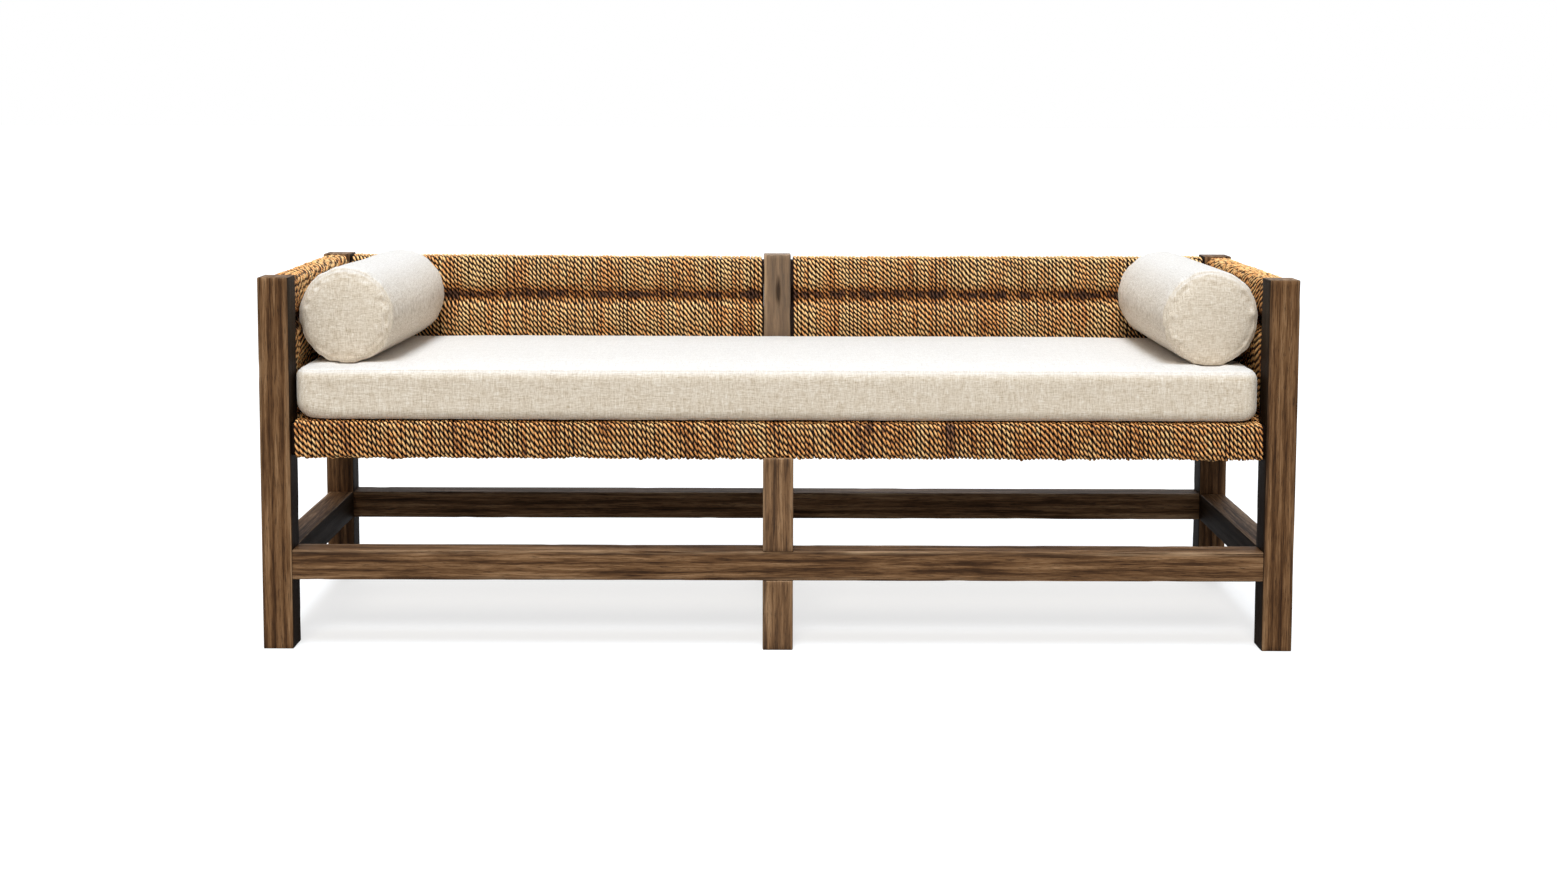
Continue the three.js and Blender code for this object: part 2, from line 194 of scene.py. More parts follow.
def join_parts(parts):
    """One (points, faces, values) from several."""
    points, faces, values, first = [], [], {}, 0
    for part_points, part_faces, part_values in parts:
        faces += [rows + first for rows in part_faces]
        points.append(part_points)
        first += len(part_points)
        for key, value in part_values.items():
            values.setdefault(key, []).append(value)
    return np.concatenate(points), faces, {key: np.concatenate(v) for key, v in values.items()}


def box_of(node):
    """A CAD node's lowest and highest corners, as arrays that can be changed."""
    return [np.array(corner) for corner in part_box(node)]


def grid_faces(rows, columns):
    """Quads between neighbouring rings of points."""
    across = np.arange(columns)
    down = np.arange(rows - 1)[:, None]
    following = (across + 1) % columns
    return np.stack([
        down * columns + across,
        down * columns + following,
        (down + 1) * columns + following,
        (down + 1) * columns + across,
    ], -1).reshape(-1, 4)


def tube_faces(rows, columns):
    """The faces of a row of rings of points, closed at both ends."""
    first = np.arange(columns)[None, :]
    return [grid_faces(rows, columns), first[:, ::-1], (rows - 1) * columns + first]


# ---------- materials ----------


class Nodes:
    """A short way to write a material's node tree."""

    def __init__(self, name):
        self.material = bpy.data.materials.new(name)
        self.material.use_nodes = True
        self.tree = self.material.node_tree
        self.shader = self.tree.nodes["Principled BSDF"]

    def node(self, kind, inputs=None, **settings):
        made = self.tree.nodes.new(kind)
        for key, value in settings.items():
            setattr(made, key, value)
        for key, value in (inputs or {}).items():
            self.feed(made.inputs[key], value)
        return made

    def feed(self, socket, value):
        if isinstance(value, bpy.types.NodeSocket):
            self.tree.links.new(value, socket)
        else:
            socket.default_value = value

    def place(self):
        return self.node("ShaderNodeTexCoord").outputs["Object"]

    def stretched(self, scale, offset=(0, 0, 0)):
        """The place on the object, stretched so that one texture cell has the wanted shape."""
        return self.node("ShaderNodeMapping", {
            "Vector": self.place(), "Scale": scale, "Location": offset,
        }).outputs["Vector"]

    def cloud(self, vector, detail, roughness=0.55, distortion=0.0):
        return self.node("ShaderNodeTexNoise", {
            "Vector": vector, "Scale": 1.0, "Detail": detail,
            "Roughness": roughness, "Distortion": distortion,
        }).outputs["Fac"]

    def ramp(self, value, stops):
        made = self.node("ShaderNodeValToRGB", {"Fac": value})
        stop_list = made.color_ramp.elements
        while len(stop_list) < len(stops):
            stop_list.new(0.5)
        for stop, (place, colour) in zip(stop_list, stops):
            stop.position = place
            stop.color = (*colour, 1.0)
        return made.outputs["Color"]

    def levels(self, value, low, high, to_low=0.0, to_high=1.0):
        return self.node("ShaderNodeMapRange", {
            "Value": value, "From Min": low, "From Max": high,
            "To Min": to_low, "To Max": to_high,
        }).outputs["Result"]

    def maths(self, operation, first, second):
        return self.node("ShaderNodeMath", {0: first, 1: second}, operation=operation).outputs[0]

    def weighted(self, *parts):
        """The sum of several values, each times its weight."""
        total = None
        for value, weight in parts:
            scaled = self.maths("MULTIPLY", value, weight)
            total = scaled if total is None else self.maths("ADD", total, scaled)
        return total

    def mix(self, amount, first, second):
        """A colour between two. The node's colour sockets are numbers 6 and 7, and 2 comes out."""
        inputs = {0: amount, 6: first, 7: second}
        return self.node("ShaderNodeMix", inputs, data_type="RGBA").outputs[2]

    def value_of(self, name):
        return self.node("ShaderNodeAttribute", attribute_name=name).outputs["Fac"]

    def finish(self, colour, roughness, height=None, depth=0.001, strength=1.0, **shader_settings):
        self.feed(self.shader.inputs["Base Color"], colour)
        self.feed(self.shader.inputs["Roughness"], roughness)
        for key, value in shader_settings.items():
            self.shader.inputs[key.replace("_", " ")].default_value = value
        if height is not None:
            bump = self.node("ShaderNodeBump", {
                "Height": height, "Distance": depth, "Strength": strength,
            })
            self.feed(self.shader.inputs["Normal"], bump.outputs["Normal"])
        return self.material


def along_axis(axis, along, across):
    """Texture scales for grain that runs along one axis."""
    return tuple(along if letter == axis else across for letter in "xyz")


def wood_material(name, axis, seed, light=(1, 1, 1), grey=0.0, knot=None):
    """Brown stained hardwood: fine streaks along the grain, patches, dark pores and rubbed edges, with
    painted shade on the faces turned in to the middle.
    light brightens or darkens red, green and blue. knot is the middle and half the size, along each
    axis, of a dark leaf-shaped knot."""
    n = Nodes(name)
    offset = (seed * 3.7, seed * 1.9, seed * 5.3)

    def grain(along, across, detail, roughness=0.6, distortion=0.0):
        return n.cloud(n.stretched(along_axis(axis, along, across), offset), detail=detail,
                       roughness=roughness, distortion=distortion)

    streaks = grain(5.0, 150.0, 8, 0.68, 0.18)
    fine = grain(24.0, 680.0, 4, 0.62)
    patches = grain(3.0, 19.0, 3, 0.5, 0.7)
    pores = grain(34.0, 900.0, 3, 0.7)
    figure = n.node("ShaderNodeTexWave", {
        "Vector": n.stretched(along_axis(axis, 1.4, 16.0), offset), "Scale": 1.0,
        "Distortion": 7.0, "Detail": 4.0, "Detail Scale": 1.3, "Detail Roughness": 0.65,
    }, wave_type="BANDS", bands_direction={"x": "Z", "y": "Z", "z": "X"}[axis]).outputs["Fac"]
    tone = n.weighted((streaks, 0.52), (fine, 0.30), (patches, 0.29), (figure, 0.09))
    tones = [
        (0.12, (0.018, 0.008, 0.004)),
        (0.33, (0.064, 0.030, 0.013)),
        (0.50, (0.152, 0.077, 0.034)),
        (0.66, (0.255, 0.143, 0.070)),
        (0.86, (0.400, 0.252, 0.142)),
    ]
    lit = [(place, tuple(np.multiply(shade, light))) for place, shade in tones]
    colour = n.ramp(n.levels(tone, 0.36, 0.84), lit)
    pored = n.mix(n.levels(pores, 0.36, 0.45, 0.8, 0.0), colour, (0.020, 0.010, 0.006, 1))
    greyed = n.mix(grey, pored, (0.175, 0.135, 0.098, 1))
    if knot is not None:
        greyed = n.mix(knot_mask(n, streaks, *knot), greyed, (0.030, 0.017, 0.010, 1))
    rubbed = n.maths("MULTIPLY", n.value_of("wear"), n.levels(streaks, 0.40, 0.62))
    worn = n.mix(rubbed, greyed, (*np.multiply((0.36, 0.24, 0.145), light), 1))
    # painted shade: darkens the faces turned in towards the middle, where the front light does not
    # reach
    shaded = n.mix(n.maths("MULTIPLY", n.value_of("painted_inner_shade"), 0.92), worn, (0.014, 0.007, 0.003, 1))
    height = n.weighted((streaks, 0.6), (pores, 0.5))
    roughness = n.levels(tone, 0.4, 0.8, 0.66, 0.50)
    return n.finish(shaded, roughness, height, depth=0.0008, strength=0.6, Specular_IOR_Level=0.10)


def knot_mask(n, streaks, middle, reach):
    """1 in the heart of a knot, fading to 0 with a ragged outline."""
    from_middle = n.node("ShaderNodeVectorMath", {0: n.place(), 1: middle}, operation="SUBTRACT")
    between = {0: from_middle.outputs[0], 1: reach}
    shares = n.node("ShaderNodeVectorMath", between, operation="DIVIDE")
    distance = n.node("ShaderNodeVectorMath", {0: shares.outputs[0]}, operation="LENGTH")
    ragged = n.weighted((distance.outputs["Value"], 1.0), (streaks, 1.2))
    return n.levels(ragged, 1.05, 1.75, 0.92, 0.0)


def rope_material(name, seed):
    """Natural twisted fibre: painted highlights on the ridges, painted shade nearly black in the
    grooves and on the strands' sides, and darker or redder lengths.
    """
    n = Nodes(name)
    offset = (seed * 2.3, seed * 4.1, seed * 1.7)
    shade = n.value_of("shade")
    fleck = n.cloud(n.stretched((190.0, 190.0, 90.0), offset), detail=4, roughness=0.65)
    fibre = n.cloud(n.stretched((1100.0, 1100.0, 500.0), offset), detail=2)
    tone = n.weighted((fleck, 0.92), (shade, 0.42), (fibre, 0.14))
    colour = n.ramp(n.levels(tone, 0.46, 1.02), [
        (0.06, (0.130, 0.046, 0.013)),
        (0.25, (0.500, 0.190, 0.054)),
        (0.42, (0.900, 0.400, 0.125)),
        (0.60, (1.000, 0.520, 0.190)),
        (0.84, (1.000, 0.665, 0.300)),
    ])
    redder = n.cloud(n.stretched((60.0, 60.0, 26.0), (4.0, 1.0, 7.0)), detail=2)
    warmed = n.mix(n.levels(redder, 0.54, 0.68, 0.0, 0.45), colour, (0.62, 0.27, 0.085, 1))
    # the purple-grey is real weathering in the dark patches and painted shade in the crease
    weathered_and_crease_shaded = n.mix(n.levels(shade, 0.02, 0.28, 0.75, 0.0), warmed, (0.160, 0.095, 0.072, 1))
    painted_ridge_light = n.value_of("painted_ridge_light")
    # painted shade on the strands' sides, painted highlight on their crowns
    flank = n.mix(0.62, weathered_and_crease_shaded, (0.130, 0.050, 0.016, 1))
    sided = n.mix(n.levels(painted_ridge_light, 0.70, 0.86), flank, weathered_and_crease_shaded)
    # painted shade: nearly black in the grooves
    grooved = n.mix(n.levels(painted_ridge_light, 0.54, 0.78), (0.012, 0.004, 0.002, 1), sided)
    return n.finish(grooved, 0.6, fibre, depth=0.0006, strength=0.6, Specular_IOR_Level=0.25)


def linen_material(name):
    """Oatmeal linen: uneven threads both ways, with thicker slubs here and there, and painted paler and
    cooler where it faces up, as painted light from above."""
    n = Nodes(name)
    weft = n.cloud(n.stretched((110.0, 1150.0, 1150.0)), detail=3, roughness=0.6)
    warp = n.cloud(n.stretched((1150.0, 110.0, 110.0)), detail=3, roughness=0.6)
    wide_weft = n.cloud(n.stretched((38.0, 420.0, 420.0), (3.1, 0.4, 2.2)), detail=2)
    wide_warp = n.cloud(n.stretched((420.0, 38.0, 38.0), (1.1, 2.4, 0.2)), detail=2)
    threads = n.weighted((weft, 0.5), (warp, 0.5))
    tone = n.weighted((threads, 0.70), (wide_weft, 0.17), (wide_warp, 0.13))
    colour = n.ramp(n.levels(tone, 0.34, 0.66), [
        (0.14, (0.430, 0.330, 0.220)),
        (0.38, (0.620, 0.520, 0.398)),
        (0.60, (0.740, 0.646, 0.524)),
        (0.86, (0.880, 0.815, 0.725)),
    ])
    # painted light: surfaces that face up are painted paler and cooler
    upward = n.node("ShaderNodeSeparateXYZ", {
        "Vector": n.node("ShaderNodeNewGeometry").outputs["Normal"],
    }).outputs["Z"]
    painted_top_light = n.mix(n.levels(upward, 0.2, 0.9, 0.0, 0.45), colour, (0.70, 0.72, 0.765, 1))
    seam = n.mix(n.maths("MULTIPLY", n.value_of("seam"), 0.16), painted_top_light, (0.40, 0.32, 0.23, 1))
    return n.finish(seam, 0.9, threads, depth=0.0005, strength=0.5, Sheen_Weight=0.25,
                    Sheen_Roughness=0.35, Specular_IOR_Level=0.4)


def plain_wood_material():
    """Unfinished hardwood for the rails inside the winding."""
    n = Nodes("plain_hardwood")
    streaks = n.cloud(n.stretched((40.0, 40.0, 40.0)), detail=6, distortion=1.2)
    colour = n.ramp(streaks, [(0.3, (0.16, 0.095, 0.052)), (0.7, (0.36, 0.235, 0.130))])
    return n.finish(colour, 0.7, streaks, depth=0.0005, strength=0.4)


def tape_material():
    """Woven zip tape: a fine speckle between two tones."""
    n = Nodes("zip_tape")
    speckle = n.cloud(n.stretched((900.0, 900.0, 900.0)), detail=3)
    colour = n.ramp(speckle, [(0.35, (0.42, 0.35, 0.25)), (0.65, (0.62, 0.54, 0.41))])
    return n.finish(colour, 0.95, speckle, depth=0.0008, strength=0.6)


# ---------- timber ----------


def timber_block(low, high, axis, seed):
    """A bar with worn edges and slightly uneven faces, as rings of points along its axis. Its faces
    that turn in to the daybed's middle carry a value for painted shade.
    """
    a = "xyz".index(axis)
    u, v = (a + 1) % 3, (a + 2) % 3
    half = np.array([high[u] - low[u], high[v] - low[v]]) / 2
    middle = np.array([high[u] + low[u], high[v] + low[v]]) / 2
    ring, outward, edge = timber_section(half)
    length = high[a] - low[a]
    count = max(2, round(length / TIMBER_STEP))
    inner = np.linspace(EDGE_RADIUS, length - EDGE_RADIUS, count)
    stations = np.concatenate([[0, 0.3 * EDGE_RADIUS], inner, [length - 0.3 * EDGE_RADIUS, length]])
    inset = np.zeros(len(stations))
    inset[[0, -1]] = EDGE_RADIUS
    inset[[1, -2]] = 0.29 * EDGE_RADIUS
    points = np.zeros((len(stations), len(ring), 3))
    points[..., a] = (low[a] + stations)[:, None]
    for column, (at, where) in enumerate(((u, 0), (v, 1))):
        flat = middle[column] + ring[:, column]
        points[..., at] = flat[None, :] - outward[None, :, where] * inset[:, None]
    edge = np.broadcast_to(edge, points.shape[:2]).copy()
    edge[[0, 1, -2, -1]] = 1.0
    worn = wear_down(points.reshape(-1, 3), a, np.tile(outward, (len(stations), 1)), edge.ravel(),
                     (u, v), seed)
    faces = tube_faces(len(stations), len(ring))
    # painted shade: marks the faces turned in towards the middle, for the wood to be painted darker
    # there
    turned_in = np.sign(-(low[0] + high[0])) * (points.reshape(-1, 3)[:, 0] - (low[0] + high[0]) / 2)
    painted_inner_shade = smooth((turned_in / (high[0] - low[0]) * 2 - 0.93) / 0.06) if axis != "x" else 0
    return worn[0], faces, {"wear": worn[1], "painted_inner_shade": painted_inner_shade * np.ones(len(worn[1]))}


def timber_section(half):
    """A rounded rectangle's points, anticlockwise, with their outward directions and 1 at edges."""
    ring, outward, edge = [], [], []
    corners = [(1, -1, -90), (1, 1, 0), (-1, 1, 90), (-1, -1, 180)]
    for index, (su, sv, start) in enumerate(corners):
        centre = np.array([su, sv]) * (half - EDGE_RADIUS)
        for step in range(EDGE_STEPS + 1):
            angle = math.radians(start + 90 * step / EDGE_STEPS)
            direction = np.array([math.cos(angle), math.sin(angle)])
            ring.append(centre + EDGE_RADIUS * direction)
            outward.append(direction)
            edge.append(1.0)
        following = np.array(corners[(index + 1) % 4][:2]) * (half - EDGE_RADIUS)
        next_start = following + EDGE_RADIUS * direction
        count = max(2, round(np.linalg.norm(next_start - ring[-1]) / TIMBER_STEP))
        begin = ring[-1]
        for step in range(1, count):
            ring.append(begin + (next_start - begin) * step / count)
            outward.append(direction)
            edge.append(0.0)
    return np.array(ring), np.array(outward), np.array(edge)


def wear_down(points, a, outward, edge, across, seed):
    """Moves points inwards where the bar is worn, and says how worn each one is."""
    along = np.ones(3)
    along[a] = 0.28
    chips = smooth(noise(points, 75 * along, seed) * 1.6 - 0.35)
    rubbing = smooth(noise(points, 16 * along, seed + 1) * 0.8 + 0.45)
    loss = edge * EDGE_WEAR * (0.30 + 0.45 * rubbing + 0.9 * chips)
    wave = FACE_WAVE * noise(points, 30 * along, seed + 2)
    moved = points.copy()
    for column, at in enumerate(across):
        moved[:, at] -= outward[:, column] * (loss - wave)
    return moved, edge * (0.25 + 0.55 * rubbing + 0.6 * chips)


def halved_blocks(node, crossing, top, seed, outer_is_low):
    """An upright that gives up half its depth where a stretcher crosses it, as three blocks. It ends
    at top, and its outer face is the low one along Y if outer_is_low is set."""
    low, high = box_of(node)
    high[2] = min(high[2], top)
    cross_low, cross_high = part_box(crossing)
    lap_low, lap_high = low.copy(), high.copy()
    lap = (low[1] + high[1]) / 2
    lap_low[2], lap_high[2] = cross_low[2] - EDGE_RADIUS, cross_high[2] + EDGE_RADIUS
    if outer_is_low:
        lap_low[1] = lap
    else:
        lap_high[1] = lap
    below_high, above_low = high.copy(), low.copy()
    below_high[2], above_low[2] = cross_low[2], cross_high[2]
    return [
        timber_block(low, below_high, "z", seed),
        timber_block(lap_low, lap_high, "z", seed + 10),
        timber_block(above_low, high, "z", seed + 20),
    ]


def make_bars():
    """The corner posts and the stretchers, each a single bar."""
    posts = ("post_front_left", "post_front_right", "post_rear_left", "post_rear_right")
    bars = [(name, "z") for name in posts]
    bars += [("stretcher_front", "x"), ("stretcher_rear", "x")]
    bars += [("stretcher_left", "y"), ("stretcher_right", "y")]
    for index, (name, axis) in enumerate(bars):
        low, high = box_of(name)
        if axis != "z":
            shorten_tenons(low, high, axis)
        block = timber_block(low, high, axis, seed=100 + 31 * index)
        piece = make_mesh("worn_" + name, *block)
        light = POST_LIGHT if axis == "z" else STRETCHER_LIGHT
        material = wood_material("wood_" + name, axis, index, light)
        stand_for(piece, "frame", "stained_hardwood", material, name)


def make_middle_uprights():
    """The rear middle post and the front middle leg, halved where a stretcher crosses them."""
    back_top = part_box("post_rear_middle")[1][2]
    under_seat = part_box("seat_rope_front")[0][2] + TENON_SHOWN
    uprights = (
        ("post_rear_middle", "stretcher_rear", back_top, False, MIDDLE_POST_GREY, MIDDLE_POST_KNOT),
        ("leg_front_middle", "stretcher_front", under_seat, True, MIDDLE_LEG_GREY, None),
    )
    for index, (name, crossing, top, outer_is_low, grey, knot) in enumerate(uprights):
        blocks = halved_blocks(name, crossing, top, 500 + 40 * index, outer_is_low)
        piece = make_mesh("worn_" + name, *join_parts(blocks))
        material = wood_material("wood_" + name, "z", 20 + index, UPRIGHT_LIGHT, grey, knot)
        stand_for(piece, "frame", "stained_hardwood", material, name)


def shorten_tenons(low, high, axis):
    """Takes most of its two tenons, which the posts hide, off a stretcher's box."""
    a = "xyz".index(axis)
    inner = abs(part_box("post_front_left")[1][a])
    low[a] = -inner - TENON_SHOWN
    high[a] = inner + TENON_SHOWN


# ---------- rope ----------


def wound_outline(low, high, corner, creased, inset):
    """The closed line that a turn of rope follows, evenly spaced, in t (across) and z, with its
    outward directions. inset is the line's depth below the outermost surface."""
    line = []
    t0, z0 = low
    t1, z1 = high
    for t, z, start in ((t1, z0, -90), (t1, z1, 0), (t0, z1, 90), (t0, z0, 180)):
        centre_t = t - math.copysign(corner, t - (t0 + t1) / 2)
        centre_z = z - math.copysign(corner, z - (z0 + z1) / 2)
        for step in range(CORNER_STEPS + 1):
            angle = math.radians(start + 90 * step / CORNER_STEPS)
            line.append((centre_t + corner * math.cos(angle), centre_z + corner * math.sin(angle)))
    line = np.array(line + line[:1])
    dense = resample(line, OUTLINE_POINTS)
    if creased:
        away = dense[:, 1] - CREASE_Z
        dip = CREASE_DEPTH * np.cos(np.clip(away / CREASE_HALF, -1, 1) * math.pi / 2) ** 2
        side = np.sign(dense[:, 0] - (t0 + t1) / 2)
        flat = smooth((np.abs(dense[:, 0] - (t0 + t1) / 2) / ((t1 - t0) / 2) - 0.6) / 0.3)
        from_roll = (dense[:, 1] - np.where(away > 0, *ROLL_MIDDLES[::-1])) / ROLL_HALF
        swell = ROLL_BULGE * np.cos(np.clip(from_roll, -1, 1) * math.pi / 2) ** 2
        dense[:, 0] += side * flat * (swell - dip)
    following = np.roll(dense, -4, 0) - np.roll(dense, 4, 0)
    outward = np.stack([following[:, 1], -following[:, 0]], 1)
    outward /= np.linalg.norm(outward, axis=1)[:, None]
    return dense - outward * inset, outward


def resample(line, count):
    """count evenly spaced points on a closed line."""
    lengths = np.concatenate([[0], np.cumsum(np.linalg.norm(np.diff(line, axis=0), axis=1))])
    wanted = np.arange(count) / count * lengths[-1]
    return np.stack([np.interp(wanted, lengths, line[:, column]) for column in range(2)], 1)


def rope_tube(path, outward, radius, phase):
    """A two-strand rope swept along a path. outward and the path's direction place its section, and
    phase is how far the strands have turned at each point."""
    direction = np.gradient(path, axis=0)
    direction /= np.linalg.norm(direction, axis=1)[:, None]
    outward = outward - direction * np.sum(outward * direction, 1)[:, None]
    outward /= np.linalg.norm(outward, axis=1)[:, None]
    sideways = np.cross(direction, outward)
    around = np.arange(ROPE_SIDES) / ROPE_SIDES * 2 * math.pi
    reach = STRAND_OFFSET * np.abs(np.cos(around))
    reach += np.sqrt(STRAND_RADIUS**2 - (STRAND_OFFSET * np.sin(around)) ** 2)
    turned = around[None, :] - phase[:, None]
    out = radius[:, None] * reach[None, :]
    points = path[:, None, :] + (out * np.cos(turned))[..., None] * outward[:, None, :]
    points += (out * np.sin(turned))[..., None] * sideways[:, None, :]
    # painted light: high where a strand faces out from the winding, low in the grooves and at the
    # sides, where the material paints shade
    facing_out = np.clip(np.cos(turned), 0, 1)
    painted_ridge_light = reach[None, :] * (SIDE_PAINTED_LIGHT + (1 - SIDE_PAINTED_LIGHT) * facing_out**0.7)
    return points.reshape(-1, 3), tube_faces(len(path), ROPE_SIDES), painted_ridge_light.ravel()


def in_row(axis, across, along, z):
    """Puts across, along and z in the row's order: a winding along x lies across y, and back."""
    columns = (along, across, z) if axis == "x" else (across, along, z)
    return np.stack(columns, -1)


def turn_by_turn(turn, turns, random):
    """A drawer of numbers that differ between a rope's turns, each passing smoothly into the next
    turn's. turn counts the turns along the rope."""
    whole = np.minimum(turn.astype(int), turns - 1)
    blend = smooth((turn - whole - 0.9) / 0.1)

    def each_turn(spread):
        drawn = random.uniform(-spread, spread, turns + 2)
        return drawn[whole] * (1 - blend) + drawn[whole + 1] * blend

    return each_turn


def rope_lift(rough, along, away, axis, creased, each_turn, seed):
    """How far a wound rope stands off its line: unevenly, higher on top of the back and the arms,
    most of all at the corner posts, and hanging loose under the rail."""
    lift = each_turn(0.0004) + 0.0009 * noise(rough, (22, 22, 9), seed + 1)
    if creased:
        from_middle = np.abs(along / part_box("post_rear_left")[1][0]) if axis == "x" else 1.0
        lift += smooth(away[:, 1]) * (TOP_LIFT + TOP_SAG * from_middle)
    hang = np.abs(each_turn(LOOSE_TURN)) ** 2 / LOOSE_TURN
    return lift + hang * smooth(-away[:, 1] * 2 - 0.6)


def rope_shade(path, axis, creased, each_turn, seed):
    """How pale a wound rope is: it changes by the turn and in patches, each winding's paleness is
    painted light, and the crease is darkened with painted shade.
    """
    # painted light: each winding starts from its own paleness, for how much light falls on it
    shade = ROPE_SHADE[axis if creased else "seat"] + each_turn(0.15)
    shade += 0.24 * noise(path, (26, 26, 9), seed + 4)
    shade += 0.30 * noise(path, (95, 95, 26), seed + 5)
    if creased:
        # painted shade in the crease between the rolls
        uneven = CREASE_SHADE * (1 + 0.4 * noise(path, (30, 30, 1), seed + 6))
        shade -= uneven * np.exp(-(((path[:, 2] - CREASE_Z - 0.004) / CREASE_SHADE_HALF) ** 2))
    return shade


def wound_rope(low, high, axis, corner, seed, creased=False):
    """One long rope wound round a rail, turn beside turn, over an inner layer painted near black as the
    shade between the turns.
    """
    a = "xyz".index(axis)
    t = 1 - a
    section = ((low[t], low[2]), (high[t], high[2]))
    line, outward = wound_outline(*section, corner, creased, ROPE_RADIUS)
    perimeter = np.linalg.norm(np.diff(np.vstack([line, line[:1]]), axis=0), axis=1).sum()
    per_turn = max(24, round(perimeter / ROPE_STEP))
    turns = round((high[a] - low[a] - 2 * ROPE_RADIUS) / ROPE_PITCH)
    pitch = (high[a] - low[a] - 2 * ROPE_RADIUS) / turns
    count = turns * per_turn + 1
    turn = np.arange(count) / per_turn
    position = ((turn % 1) * len(line)).astype(int) % len(line)
    each_turn = turn_by_turn(turn, turns, np.random.default_rng(seed))
    along = low[a] + ROPE_RADIUS + turn * pitch + each_turn(0.0006)
    flat = line[position]
    away = outward[position]
    rough = in_row(axis, flat[:, 0], along, flat[:, 1])
    thickness = 1 + each_turn(0.12) + 0.08 * noise(rough, 34, seed)
    flat = flat + away * rope_lift(rough, along, away, axis, creased, each_turn, seed)[:, None]
    path = in_row(axis, flat[:, 0], along, flat[:, 1])
    facing = in_row(axis, away[:, 0], np.zeros(count), away[:, 1])
    lay = ROPE_LAY * (1 + 0.15 * noise(rough, (30, 30, 14), seed + 3) + each_turn(0.14))
    phase = np.cumsum(2 * math.pi * perimeter / per_turn / lay)
    if axis == "y":
        phase = -phase
    points, faces, painted_ridge_light = rope_tube(path, facing, ROPE_RADIUS * thickness, phase)
    shade = rope_shade(path, axis, creased, each_turn, seed)
    rope = (points, faces, {"painted_ridge_light": painted_ridge_light, "shade": np.repeat(shade, ROPE_SIDES)})
    return join_parts([rope, inner_sleeve(section, low[a], high[a], axis, corner, creased)])


def inner_sleeve(section, start, end, axis, corner, creased):
    """The inner layer, painted near black as the shade between the turns: a sleeve with closed walls.
    """
    rings = []
    around = 96
    for depth, at in ((0, start), (0, end), (1, end), (1, start), (0, start)):
        line, _ = wound_outline(*section, corner, creased, SLEEVE_DEPTH[depth])
        line = line[np.arange(around) * len(line) // around]
        rings.append(in_row(axis, line[:, 0], np.full(around, at), line[:, 1]))
    points = np.concatenate(rings[:4])
    faces = grid_faces(5, around)
    faces[faces >= 4 * around] -= 4 * around
    if axis == "x":
        faces = faces[:, ::-1]
    dark = np.zeros(len(points))
    # painted shade: no ridge light and low paleness make the sleeve near black
    return points, [faces], {"painted_ridge_light": dark, "shade": dark + 0.3}


def deck_ropes(low, high, seed):
    """Ropes side by side across the seat, from front to rear, dipping at the ends."""
    random = np.random.default_rng(seed)
    count = round((high[0] - low[0]) / ROPE_PITCH)
    pitch = (high[0] - low[0]) / count
    steps = round((high[1] - low[1]) / (ROPE_STEP * 1.25))
    parts = []
    for index in range(count):
        y = np.linspace(low[1] + 0.001, high[1] - 0.001, steps)
        x = low[0] + (index + 0.5) * pitch + random.uniform(-0.0006, 0.0006)
        edge = np.minimum(y - low[1], high[1] - y)
        rough = np.stack([np.full(steps, x), y, np.zeros(steps)], 1)
        z = high[2] - ROPE_RADIUS - 0.003 * (1 - smooth(edge / 0.012))
        z += random.uniform(-0.0005, 0.0003) + 0.0006 * noise(rough, 20, seed)
        path = np.stack([np.full(steps, x), y, z], 1)
        facing = np.tile([0.0, 0.0, 1.0], (steps, 1))
        lay = ROPE_LAY * (1 + random.uniform(-0.06, 0.06))
        phase = random.uniform(0, 6.3) + (y - y[0]) * 2 * math.pi / lay
        radius = np.full(steps, ROPE_RADIUS * (1 + random.uniform(-0.08, 0.08)))
        points, faces, painted_ridge_light = rope_tube(path, facing, radius, phase)
        shade = 0.5 + random.uniform(-0.22, 0.22) + 0.3 * noise(path, (26, 5, 26), seed + 4)
        parts.append((points, faces, {"painted_ridge_light": painted_ridge_light, "shade": np.repeat(shade, ROPE_SIDES)}))
    return join_parts(parts + [deck_backing(low, high)])


def deck_backing(low, high):
    """The lower layer of the deck, painted near black as the shade between its ropes: a closed slab."""
    top = high[2] - DECK_BACKING_DEPTH
    points, faces = box_grid((low[0], high[0]), (low[1], high[1]), (low[2], top))
    dark = np.zeros(len(points))
    # painted shade: no ridge light and low paleness make the backing near black
    return points, [faces], {"painted_ridge_light": dark, "shade": dark + 0.3}


def make_ropes():
    material = rope_material("abaca_rope", 1)
    windings = [("seat_rope_front", "x", SEAT_CORNER, False)]
    for side in ("left", "right"):
        windings += [
            ("seat_rope_rear_" + side, "x", SEAT_CORNER, False),
            ("seat_rope_" + side, "y", SEAT_CORNER, False),
            ("back_rope_" + side, "x", BACK_CORNER, True),
            ("arm_rope_" + side, "y", BACK_CORNER, True),
        ]
    for index, (node, axis, corner, creased) in enumerate(windings):
        low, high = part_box(node)
        parts = wound_rope(low, high, axis, corner, 1000 + 17 * index, creased)
        piece = make_mesh("wound_" + node, *parts)
        stand_for(piece, "frame", "abaca_rope", material, node)
    for index, side in enumerate(("left", "right")):
        node = "seat_deck_" + side
        piece = make_mesh("laid_" + node, *deck_ropes(*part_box(node), 2000 + index))
        stand_for(piece, "frame", "abaca_rope", material, node)


# ---------- cushions ----------


